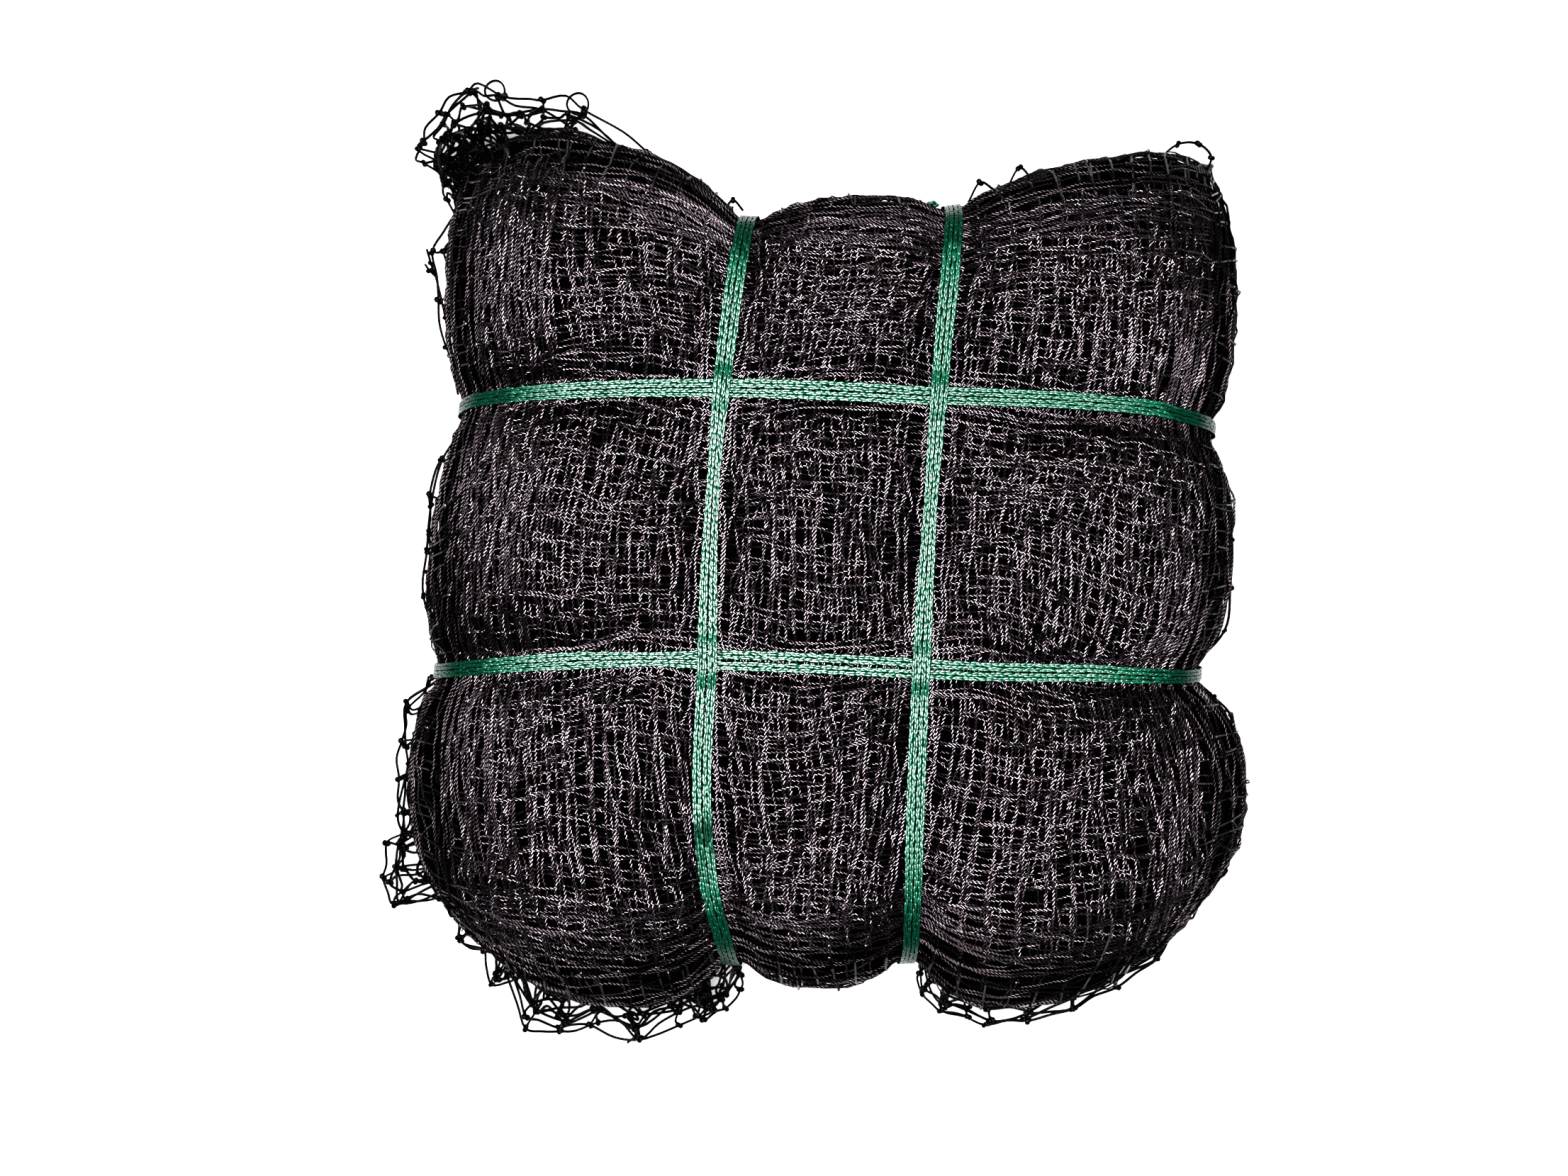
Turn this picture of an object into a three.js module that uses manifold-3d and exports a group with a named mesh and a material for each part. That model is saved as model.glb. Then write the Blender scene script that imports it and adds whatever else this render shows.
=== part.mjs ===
// Cat safety net: a black knotted net folded back and forth into a flat bale, bound by four green cord ties.
// Millimetres, +Z up. The bale lies flat: X runs across it, Y along it, and Z = 0 is the surface below it.
import * as THREE from "three";
import { mergeVertices } from "three/addons/utils/BufferGeometryUtils.js";
import Module from "manifold-3d";

// Bale size between its edges, used to turn lengths into shares of the width and of the length
const WIDTH = 450;
const LENGTH = 470;

// Folded stack: each layer stands for many plies of net, and the folds lie at the left and right
const LAYERS = 4;
const SLOT_SHARE = 0.045;
const FOLD_DEPTH = 10;
const FOLD_ANGLES = [-90, -50, -17, 17, 50, 90].map(THREE.MathUtils.degToRad);
const SLOT_END = 18;
const SLOT_END_ROUND = 1.5;
const END_DEPTH = 10;
const END_TIP = 2;
const END_TAPER = 0.3;

// Rounded edge of the stack
const SHOULDER = 26;
const SHOULDER_ROUND = 0.92;
const EDGE_REACH = 75;
const EDGE_HEIGHT = 0.66;
const EDGE_RISE = 22;

// Heights: the net below the ties on top, the crests of the lobes between them, the tie grooves underneath
const TIE_HEIGHT = 114;
const CRESTS = [
  { row: "bottom", left: 20, middle: 15, right: 22 },
  { row: "middle", left: 18, middle: 13, right: 18 },
  { row: "top", left: 22, middle: 14, right: 20 },
];
const UNDER_GROOVE = 6;
const UNDER_GROOVE_REACH = 15;
const TIE_BAND = 7;
const LOBE_POWER = 2.6;

// Where edges and ties meet in plan: a row for each line along X, with its points at the left edge,
// the two ties that run along Y and the right edge
const U_LINES = [0, 0.37, 0.628, 1];
const V_LINES = [0, 0.37, 0.7, 1];
const GRID = [
  { line: "bottom edge", points: [[-212, -222], [-46, -240], [55, -239], [224, -219]] },
  { line: "lower tie", points: [[-226, -65], [-61, -56], [60, -61], [231, -66]] },
  { line: "upper tie", points: [[-211, 90], [-53, 98], [70, 93], [239, 76]] },
  { line: "top edge", points: [[-207, 250], [-37, 205], [82, 212], [242, 242]] },
];

// How far each lobe swells out between the ties, from the bottom up or from left to right
const SWELL = {
  left: [27, 17, 16],
  right: [37, 19, 16],
  bottom: [33, 15, 36],
  top: [36, 14, 16],
};

// Sampling, in millimetres from an edge and from a tie
const EDGE_STEPS = [0, 10, 24, 46, 75, 110];
const TIE_STEPS = [-15, -7, 7, 15];

// Cord of the ties: flat and knitted, two turns side by side in each tie
const CORD_WIDTH = 5.4;
const CORD_THICKNESS = 1.8;
const CORD_SECTION = [[-1, 0], [-0.75, -1], [0.75, -1], [1, 0], [0.75, 1], [-0.75, 1]];
const CORD_GAP = 0.65;
const TURN_OFFSET = 2.95;
const CROSSING_LIFT = 2.2;
const CROSSING_REACH = 8;
const SIDE_HEIGHTS = [0.97, 0.88, 0.77, 0.63, 0.5, 0.37, 0.23, 0.12, 0.03];

// Knot of the right tie, pulled tight against the top edge beside the tie's left turn
const KNOT = { beside: 10, height: 0.55, off: 3.3, radius: 2.2, cord: 1, tail: 11 };
const OVERHAND = { steps: 40, sides: 6, turns: 2, lobes: 3 };

// Loose meshes that stand out past the stack: the knots along each rim from root to root, their height,
// and the place in the stack that their bars run back to
const TWINE = 1.8;
const MESH_KNOT = 3.6;
const BAR = 40;
const BAR_SPREAD = THREE.MathUtils.degToRad(16);
const RIM_SWAY = 5;
const SWAY_TURN = 2;
const CURLS = [
  { knot: 5, radius: 6, toward: 150 },
  { knot: 7, radius: 6.5, toward: 130 },
];
const LOOSE = [
  {
    place: "top left ear",
    z: 50,
    hub: [-178, 222],
    curls: CURLS,
    knots: [
      [-214, 221], [-234, 240], [-236, 255], [-226, 272], [-208, 283],
      [-187, 282], [-164, 280], [-138, 272], [-100, 248],
    ],
  },
  {
    place: "left edge",
    z: 55,
    hub: [-100, 150],
    knots: [[-216, 210], [-232, 186], [-233, 155], [-226, 127], [-207, 102]],
  },
  {
    place: "lower left tuft",
    z: 48,
    hub: [-190, -170],
    knots: [[-240, -161], [-257, -169], [-261, -191], [-254, -207], [-226, -202]],
  },
  {
    place: "lower left corner",
    z: 46,
    hub: [-150, -190],
    knots: [[-218, -208], [-214, -226], [-200, -236], [-195, -256], [-179, -251]],
  },
  {
    place: "bottom left",
    z: 50,
    hub: [-112, -120],
    knots: [
      [-185, -249], [-173, -280], [-153, -284], [-130, -278],
      [-106, -286], [-81, -280], [-61, -271], [-67, -242],
    ],
  },
  {
    place: "bottom right",
    z: 50,
    hub: [115, -120],
    knots: [
      [82, -244], [77, -269], [104, -280], [130, -277],
      [157, -268], [184, -257], [208, -240], [214, -218],
    ],
  },
];
const RIM_STEPS = 2;
const CURL_SIDES = 9;
const UP = new THREE.Vector3(0, 0, 1);
const MERGE = 1e-3;

const clamp01 = (p) => Math.min(1, Math.max(0, p));
const mix = (a, b, t) => a + (b - a) * t;

// Shares of the four grid lines at place p: the cubic through all four
function gridShares(p, lines) {
  return lines.map((at, i) =>
    lines.reduce((share, other, j) => (j === i ? share : (share * (p - other)) / (at - other)), 1),
  );
}

// The lobe that holds p, as its number and its height there: 0 in the bands of the ties, 1 at the crest
function lobeAt(p, lines, size) {
  const number = p < lines[1] ? 0 : p < lines[2] ? 1 : 2;
  const from = lines[number] * size + TIE_BAND;
  const to = lines[number + 1] * size - TIE_BAND;
  const t = clamp01((p * size - from) / (to - from));
  return { number, height: 1 - Math.abs(2 * t - 1) ** LOBE_POWER };
}

const fade = (share) => (1 - clamp01(share)) ** 2;

// Plan position at shares u across and v along
function plan(u, v) {
  const across = gridShares(u, U_LINES);
  const along = gridShares(v, V_LINES);
  let x = 0;
  let y = 0;
  GRID.forEach((row, j) =>
    row.points.forEach((point, i) => {
      x += across[i] * along[j] * point[0];
      y += across[i] * along[j] * point[1];
    }),
  );
  const row = lobeAt(v, V_LINES, LENGTH);
  const column = lobeAt(u, U_LINES, WIDTH);
  x -= SWELL.left[row.number] * row.height * fade(u / U_LINES[1]);
  x += SWELL.right[row.number] * row.height * fade((1 - u) / (1 - U_LINES[2]));
  y -= SWELL.bottom[column.number] * column.height * fade(v / V_LINES[1]);
  y += SWELL.top[column.number] * column.height * fade((1 - v) / (1 - V_LINES[2]));
  return { x, y };
}

// How round the edge is at place p: 0 at the edge, 1 from EDGE_REACH inwards
function edgeRound(p, size) {
  const inward = clamp01((Math.min(p, 1 - p) * size) / EDGE_REACH);
  return Math.sqrt(1 - (1 - inward) ** 2);
}

// Share of the groove's depth at place p below the ties
function grooveAt(p, lines, size) {
  const off = Math.min(...lines.slice(1, 3).map((line) => Math.abs(p - line))) * size;
  return 1 - clamp01((off - TIE_BAND) / (UNDER_GROOVE_REACH - TIE_BAND));
}

// Top and underside of the bale at u, v
function heights(u, v) {
  const row = lobeAt(v, V_LINES, LENGTH);
  const column = lobeAt(u, U_LINES, WIDTH);
  const crest = CRESTS[row.number][["left", "middle", "right"][column.number]];
  const roundU = edgeRound(u, WIDTH);
  const roundV = edgeRound(v, LENGTH);
  const fall = mix(EDGE_HEIGHT, 1, roundU) * mix(EDGE_HEIGHT, 1, roundV);
  const groove = Math.max(grooveAt(u, U_LINES, WIDTH), grooveAt(v, V_LINES, LENGTH));
  const rise = EDGE_RISE * (1 - Math.min(roundU, roundV));
  return {
    top: (TIE_HEIGHT + crest * row.height * column.height) * fall,
    under: Math.max(UNDER_GROOVE * groove, rise),
  };
}

// A point of the stack at shares u, v of its outline and w of its height
function stackPoint(u, v, w) {
  const inset = SHOULDER * (1 - Math.sqrt(1 - SHOULDER_ROUND * (2 * w - 1) ** 2));
  const uIn = u + (inset / WIDTH) * (fade(u / U_LINES[1]) - fade((1 - u) / (1 - U_LINES[2])));
  const vIn = v + (inset / LENGTH) * (fade(v / V_LINES[1]) - fade((1 - v) / (1 - V_LINES[2])));
  const { x, y } = plan(uIn, vIn);
  const { top, under } = heights(uIn, vIn);
  return new THREE.Vector3(x, y, mix(under, top, w));
}

// Sample places from edge to edge, close together at the edges and at the ties
function samples(lines, size, edgeSteps, tieSteps) {
  const places = [
    ...edgeSteps.map((mm) => mm / size),
    ...edgeSteps.map((mm) => 1 - mm / size),
    ...lines.slice(1, 3).flatMap((line) => tieSteps.map((mm) => line + mm / size)),
    (lines[1] + lines[2]) / 2,
  ];
  return places.sort((a, b) => a - b);
}

// Lower and upper side of a layer as shares of the stack's height
const lowerSide = (layer) => (layer + (layer > 0 ? SLOT_SHARE : 0)) / LAYERS;
const upperSide = (layer) => (layer + 1 - (layer < LAYERS - 1 ? SLOT_SHARE : 0)) / LAYERS;

// The folded section, seen from the front: stations along the net's path from its lower left end,
// each with the points at the right and left hand of the path as u, w
function foldedSection() {
  const columns = samples(U_LINES, WIDTH, EDGE_STEPS.slice(2), TIE_STEPS);
  const stations = [];
  const station = (layer, low, high) => {
    stations.push(layer % 2 ? { right: high, left: low } : { right: low, left: high });
  };
  const level = (layer, u, taper) => {
    const low = lowerSide(layer);
    const high = upperSide(layer);
    station(layer, { u, w: mix(low, high, taper) }, { u, w: mix(high, low, taper) });
  };
  const fold = (layer, angle) => {
    const turn = (1 + Math.sin(angle)) / 2;
    const side = (inset) => (layer % 2 ? inset / WIDTH : 1 - inset / WIDTH);
    const outer = {
      u: side(FOLD_DEPTH * (1 - Math.cos(angle))),
      w: mix(lowerSide(layer), upperSide(layer + 1), turn),
    };
    const inner = {
      u: side(SLOT_END - SLOT_END_ROUND * Math.cos(angle)),
      w: mix(upperSide(layer), lowerSide(layer + 1), turn),
    };
    station(layer, outer, inner);
  };
  const lastSide = (inset) => (LAYERS % 2 ? 1 - inset / WIDTH : inset / WIDTH);
  level(0, END_TIP / WIDTH, END_TAPER);
  level(0, END_DEPTH / WIDTH, 0);
  for (let layer = 0; layer < LAYERS; layer += 1) {
    const run = layer % 2 ? [...columns].reverse() : columns;
    run.forEach((u) => level(layer, u, 0));
    if (layer < LAYERS - 1) FOLD_ANGLES.forEach((angle) => fold(layer, angle));
  }
  level(LAYERS - 1, lastSide(END_DEPTH), 0);
  level(LAYERS - 1, lastSide(END_TIP), END_TAPER);
  return stations;
}

// A closed solid through rings of points, with its ends joined or capped by the given triangles
function skin(rings, caps) {
  const count = rings[0].length;
  const index = [];
  const last = caps ? rings.length - 1 : rings.length;
  for (let j = 0; j < last; j += 1) {
    const next = (j + 1) % rings.length;
    for (let i = 0; i < count; i += 1) {
      const a = j * count + i;
      const b = j * count + ((i + 1) % count);
      const c = next * count + ((i + 1) % count);
      const d = next * count + i;
      index.push(a, c, b, a, d, c);
    }
  }
  if (caps) {
    const end = (rings.length - 1) * count;
    caps.forEach(([a, b, c]) => index.push(a, b, c, end + a, end + c, end + b));
  }
  const geometry = new THREE.BufferGeometry();
  geometry.setFromPoints(rings.flat());
  geometry.setIndex(index);
  return geometry;
}

// Folded stack of the net: the section swept from its bottom edge to its top edge
function foldedNet() {
  const stations = foldedSection();
  const section = [...stations.map((s) => s.right), ...stations.map((s) => s.left).reverse()];
  const rows = samples(V_LINES, LENGTH, EDGE_STEPS, TIE_STEPS);
  const rings = rows.map((v) => section.map(({ u, w }) => stackPoint(u, v, w)));
  const caps = [];
  for (let i = 0; i < stations.length - 1; i += 1) {
    const across = section.length - 1 - i;
    caps.push([i, i + 1, across - 1], [i, across - 1, across]);
  }
  return skin(rings, caps);
}

// A strand of three sides along the given points, capped at its ends or joined into a ring
function strand(points, thickness, joined) {
  const count = points.length;
  const rings = points.map((point, n) => {
    const before = points[joined ? (n + count - 1) % count : Math.max(n - 1, 0)];
    const after = points[joined ? (n + 1) % count : Math.min(n + 1, count - 1)];
    const ahead = after.clone().sub(before).normalize();
    const right = new THREE.Vector3().crossVectors(ahead, UP).normalize();
    const up = new THREE.Vector3().crossVectors(right, ahead);
    return [0, 1, 2].map((side) => {
      const angle = (side * 2 * Math.PI) / 3;
      return point
        .clone()
        .addScaledVector(right, (Math.cos(angle) * thickness) / 2)
        .addScaledVector(up, (Math.sin(angle) * thickness) / 2);
    });
  });
  return skin(rings, joined ? null : [[0, 1, 2]]);
}

// A round curl of twine at a knot
function curl(place, { radius, toward }) {
  const start = THREE.MathUtils.degToRad(toward);
  const points = Array.from({ length: CURL_SIDES }, (_, n) => {
    const angle = start + (n / CURL_SIDES) * 2 * Math.PI;
    const x = place.x + radius * (Math.cos(start) - Math.cos(angle));
    const y = place.y + radius * (Math.sin(start) - Math.sin(angle));
    return new THREE.Vector3(x, y, place.z);
  });
  return strand(points, TWINE, true);
}

// The strands of one loose stretch: its rim, and from each knot a bar back into the stack
function looseMesh({ z, hub, knots, curls }) {
  const places = knots.map(([x, y], n) => new THREE.Vector3(x, y, z + RIM_SWAY * Math.sin(SWAY_TURN * n)));
  const rim = new THREE.CatmullRomCurve3(places, false, "centripetal");
  const pieces = [strand(rim.getPoints((knots.length - 1) * RIM_STEPS), TWINE, false)];
  places.slice(1, -1).forEach((place, n) => {
    const bar = new THREE.Vector3(hub[0] - place.x, hub[1] - place.y, 0).setLength(BAR);
    bar.applyAxisAngle(UP, n % 2 ? BAR_SPREAD : -BAR_SPREAD);
    pieces.push(strand([place, place.clone().add(bar)], TWINE, false));
    pieces.push(new THREE.OctahedronGeometry(MESH_KNOT / 2).translate(place.x, place.y, place.z));
  });
  return [...pieces, ...(curls || []).map((row) => curl(places[row.knot], row))];
}

// Booleans of closed geometries
const wasm = await Module();
wasm.setup();
function solid(geometry) {
  const bare = new THREE.BufferGeometry();
  bare.setAttribute("position", geometry.getAttribute("position"));
  if (geometry.index) bare.setIndex(geometry.index);
  const merged = mergeVertices(bare, MERGE);
  return new wasm.Manifold(
    new wasm.Mesh({
      numProp: 3,
      vertProperties: merged.getAttribute("position").array,
      triVerts: new Uint32Array(merged.index.array),
    }),
  );
}
function joined(geometries) {
  const mesh = geometries
    .map(solid)
    .reduce((whole, piece) => whole.add(piece))
    .getMesh();
  const geometry = new THREE.BufferGeometry();
  geometry.setAttribute("position", new THREE.BufferAttribute(mesh.vertProperties, 3));
  geometry.setIndex(new THREE.BufferAttribute(mesh.triVerts, 1));
  return geometry;
}

const black = new THREE.MeshStandardMaterial({ color: 0x0b0a0c, roughness: 0.55, metalness: 0 });
const green = new THREE.MeshStandardMaterial({ color: 0x0a8a56, roughness: 0.7, metalness: 0 });

const group = new THREE.Group();
function add(name, geometry, material) {
  const mesh = new THREE.Mesh(geometry, material);
  mesh.name = name;
  group.add(mesh);
}

// Ties: the line each follows, and the way it runs
const TIES = [
  { name: "tie_left", at: U_LINES[1], alongY: true },
  { name: "tie_right", at: U_LINES[2], alongY: true },
  { name: "tie_lower", at: V_LINES[1], alongY: false },
  { name: "tie_upper", at: V_LINES[2], alongY: false },
];

// Stations of a tie round the bale, as share s along its line, height w and lift over a tie that it crosses
function tieStations(tie) {
  const lines = tie.alongY ? V_LINES : U_LINES;
  const size = tie.alongY ? LENGTH : WIDTH;
  const lift = (s) => {
    const off = Math.min(...lines.slice(1, 3).map((line) => Math.abs(s - line))) * size;
    return tie.alongY && off < CROSSING_REACH ? CROSSING_LIFT : 0;
  };
  const places = samples(lines, size, tie.alongY ? EDGE_STEPS : EDGE_STEPS.slice(1), TIE_STEPS);
  return [
    ...places.map((s) => ({ s, w: 1, lift: lift(s) })),
    ...SIDE_HEIGHTS.map((w) => ({ s: 1, w, lift: 0 })),
    ...[...places].reverse().map((s) => ({ s, w: 0, lift: lift(s) })),
    ...[...SIDE_HEIGHTS].reverse().map((w) => ({ s: 0, w, lift: 0 })),
  ];
}

// One turn of a tie, beside its line by the given offset
function tieTurn(tie, offset) {
  const place = ({ s, w }, beside) =>
    tie.alongY ? stackPoint(tie.at + beside / WIDTH, s, w) : stackPoint(s, tie.at + beside / LENGTH, w);
  const stations = tieStations(tie);
  const centres = stations.map((station) => place(station, 0));
  const rings = stations.map((station, n) => {
    const before = centres[(n + centres.length - 1) % centres.length];
    const after = centres[(n + 1) % centres.length];
    const ahead = after.clone().sub(before).normalize();
    const beside = place(station, 1).sub(place(station, -1));
    beside.addScaledVector(ahead, -beside.dot(ahead)).normalize();
    const out = new THREE.Vector3().crossVectors(ahead, beside).normalize();
    if (tie.alongY) out.negate();
    const middle = centres[n]
      .clone()
      .addScaledVector(beside, offset)
      .addScaledVector(out, CORD_GAP + CORD_THICKNESS / 2 + station.lift);
    const ring = CORD_SECTION.map(([side, up]) =>
      middle
        .clone()
        .addScaledVector(beside, (side * CORD_WIDTH) / 2)
        .addScaledVector(out, (up * CORD_THICKNESS) / 2),
    );
    return tie.alongY ? ring : ring.reverse();
  });
  return skin(rings, null);
}

add("net", joined([foldedNet(), ...LOOSE.flatMap(looseMesh)]), black);
TIES.forEach((tie) => {
  add(`${tie.name}_a`, tieTurn(tie, -TURN_OFFSET), green);
  add(`${tie.name}_b`, tieTurn(tie, TURN_OFFSET), green);
});

// Knot: an overhand turn of the cord with one tail laid against the edge
const seat = stackPoint(U_LINES[2] - KNOT.beside / WIDTH, 1, KNOT.height);
const overhand = new THREE.TorusKnotGeometry(
  KNOT.radius,
  KNOT.cord,
  OVERHAND.steps,
  OVERHAND.sides,
  OVERHAND.turns,
  OVERHAND.lobes,
).rotateX(Math.PI / 2);
const tail = strand(
  [new THREE.Vector3(-KNOT.radius, 0, 0), new THREE.Vector3(-KNOT.tail, KNOT.cord, -KNOT.tail / 2)],
  2 * KNOT.cord,
  false,
);
add("knot", joined([overhand, tail]).translate(seat.x, seat.y + KNOT.off, seat.z), green);

export default group;
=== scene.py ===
import math

import bpy
import numpy as np
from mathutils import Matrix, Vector


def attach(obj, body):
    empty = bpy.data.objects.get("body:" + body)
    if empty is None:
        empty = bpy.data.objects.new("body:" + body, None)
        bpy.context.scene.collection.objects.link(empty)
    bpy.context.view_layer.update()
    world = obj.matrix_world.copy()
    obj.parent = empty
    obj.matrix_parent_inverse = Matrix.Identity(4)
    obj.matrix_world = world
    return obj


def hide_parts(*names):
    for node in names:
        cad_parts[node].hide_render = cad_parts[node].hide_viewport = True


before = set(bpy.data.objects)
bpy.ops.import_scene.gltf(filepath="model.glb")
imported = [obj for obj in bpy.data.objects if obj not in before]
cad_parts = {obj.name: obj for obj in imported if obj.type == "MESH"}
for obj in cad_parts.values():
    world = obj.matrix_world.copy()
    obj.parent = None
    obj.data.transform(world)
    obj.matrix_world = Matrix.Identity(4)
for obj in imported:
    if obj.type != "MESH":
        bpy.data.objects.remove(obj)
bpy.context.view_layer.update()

# Sizes are in millimetres, as in the part's source; materials, camera, floor and lights have metres
MM = 0.001
SEED = 41
# Below these a length or an area counts as nothing
TINY = 1e-9
NO_AREA = 1e-3

# Bale: the same sizes and lines as the part's solids, its swells less, for the twine and loops laid on them
WIDTH = 450.0
LENGTH = 470.0
WALL = 62.0
SHOULDER = 26.0
SHOULDER_ROUND = 0.92
EDGE_REACH = 75.0
EDGE_HEIGHT = 0.66
EDGE_RISE = 22.0
TIE_HEIGHT = 114.0
# Crests of the lobes above the ties: rows from the bottom up, columns from left to right
CRESTS = np.array([[20, 15, 22], [18, 13, 18], [22, 14, 20]], float)
UNDER_GROOVE = 6.0
UNDER_GROOVE_REACH = 15.0
TIE_BAND = 7.0
LOBE_POWER = 2.6
U_LINES = np.array([0, 0.37, 0.628, 1])
V_LINES = np.array([0, 0.37, 0.7, 1])
# Plan points where edges and ties meet: bottom edge, lower tie, upper tie, top edge
GRID = np.array([
    [[-212, -222], [-46, -240], [55, -239], [224, -219]],
    [[-226, -65], [-61, -56], [60, -61], [231, -66]],
    [[-211, 90], [-53, 98], [70, 93], [239, 76]],
    [[-207, 250], [-37, 205], [82, 212], [242, 242]],
], float)
SWELL = {
    "left": np.array([16.0, 10.0, 14.0]),
    "right": np.array([33.0, 16.0, 12.0]),
    "bottom": np.array([32.0, 14.0, 34.0]),
    "top": np.array([35.0, 13.0, 15.0]),
}

# Core of the bale: depth below the skin on top, on the sides and underneath, and steps across and down it
CORE_DEPTH = 10.5
CORE_SIDE = 2.6
CORE_UNDER = 2.5
CORE_ROWS = 64
CORE_SIDE_STEPS = 8

# Twine of the net: radius, length of one turn of its twist, and strands
TWINE = 0.65
LAY = 7.2
STRANDS = 3
# A knot as a short tube: places along it and thickness there in knot sizes, and its half length
LUMP_ALONG = np.array([-1.0, -0.55, 0.0, 0.55, 1.0])
LUMP_THICK = np.array([0.45, 0.95, 0.8, 0.95, 0.45])
LUMP_LENGTH = 1.25
LUMP_SIDES = 6
# Size of the knots of a ply and its range, and the share of them that shows on the sides
PLY_KNOT = 1.05
PLY_KNOT_RANGE = (0.85, 1.15)
SIDE_KNOTS = 0.25

# Distance from knot to knot, and from one ply to the next one down
BAR = 27.0
PLY_STEP = 0.45
# Plies from the top down: shift of the meshes in elevenths of a bar, jitter of the knots, slack of the
# bars, height of the small waves where lines ride over each other, and radius of the twine
SHIFTS = 11
LOWER_PLY = {"jitter": 1.3, "slack": 1.0, "wave": 1.3, "twine": 0.64}
LOWER_SHIFTS = [(3, 8), (9, 1), (5, 6), (1, 10), (8, 3), (4, 7), (10, 5), (2, 2), (7, 9)]
PLIES = [
    {"shift": (0, 0), "jitter": 1.5, "slack": 1.1, "wave": 0.7, "twine": 0.73},
    {"shift": (6, 4), "jitter": 1.3, "slack": 1.0, "wave": 1.2, "twine": 0.66},
    *({"shift": shift, **LOWER_PLY} for shift in LOWER_SHIFTS),
]
# Plies underneath, which end this far inside the edge
UNDER_INSET = 4.0
UNDER_PLIES = [
    {"shift": (1, 2), "jitter": 2.0, "slack": 1.4, "wave": 0.6, "twine": 0.6},
    {"shift": (4, 8), "jitter": 2.2, "slack": 1.6, "wave": 0.6, "twine": 0.6},
]
# The meshes are drawn out of true, all plies alike, and each ply a little by itself
WARP = 4.0
WARP_WAVE = 150.0
PLY_WARP = 1.0
PLY_WARP_WAVE = 80.0
# Spread of the plies' turn, in degrees
PLY_TURN = 0.6
# Height and length of a ply's broad waves, and length of the small ones
PLY_RIPPLE = 0.7
PLY_RIPPLE_WAVE = 60.0
LINE_WAVE = 15.0
# Waves that make up a ripple, and the range of their lengths
RIPPLE_WAVES = 5
RIPPLE_RANGE = (0.6, 1.5)
RIPPLE_SEEDS = 1 << 30
# Steps of a line from each third of a bar to the next, and lines laid out beyond a ply's reach
LINE_STEPS = 2
SPARE_LINES = 2
# The lines along the bale are drawn a little stronger than the ones across
ALONG_WEIGHT = 1.14
# Only the first plies have knots and go all the way down the sides; the others end this far past the edge
FULL_PLIES = 3
TURN_DOWN = 8.0
# At a corner a ply ends where its distances past both edges add up to its reach, or to this if that is more
CORNER_GATHER = 26.0
# Material slots of a ply's lines: on top, and near an edge and over it, where they take darker copies of the
# twine as painted shade
ON_TOP = 0
NEAR_EDGE = 1
OVER_EDGE = 2
# How far in from each edge the lines take the darker copy of the twine, as painted shade, and how far that
# varies
SIDE_START = {"left": 17.0, "right": 8.0, "bottom": 24.0, "top": 8.0}
SIDE_SPREAD = 7.0
# The lines across an edge lie darkest, in painted shade, from this far inside it to this far down the side
TURN_START = -10.0
TURN_END = 16.0

# Lines along the left, bottom, right and top side, from inside the edge down to the floor
FOLD_START = [-62.0, -40.0, -38.0, -38.0]
FOLD_STEP = 3.3
FOLD_POINT_STEP = 6.5
# They end up to this far past or short of a side's end
FOLD_PAST = 8.0
FOLD_SHORT = 12.0
# They sway up and down, and stand off the side a little, in small waves
FOLD_SWAY = 2.4
FOLD_SWAY_WAVE = 110.0
FOLD_OFF = 1.2
FOLD_RIPPLE = 0.6
FOLD_RIPPLE_WAVE = 25.0

# Loose twine: radius, steps of its lines, size, ranges and tilt of its knots, and lowest and highest knot
LOOSE_TWINE = 0.9
LOOSE_STEPS = 4
LOOSE_KNOT = 2.0
LOOSE_KNOT_RANGE = (0.8, 1.1)
STRAY_KNOT_RANGE = (0.7, 1.0)
KNOT_TILT = 0.2
LOOSE_LOW = 14.0
LOOSE_HIGH = 95.0
# The rim of loose meshes sways up and down; a layer lies this share of a step further in than the one before
RIM_SWAY = 5.0
SWAY_TURN = 2.0
LAYER_SHIFT = 0.45
# Slack of the bars as a share of the ruffle, and rows in from the rim that have knots
BOW_SHARE = 0.6
KNOTTED_ROWS = 2
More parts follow.
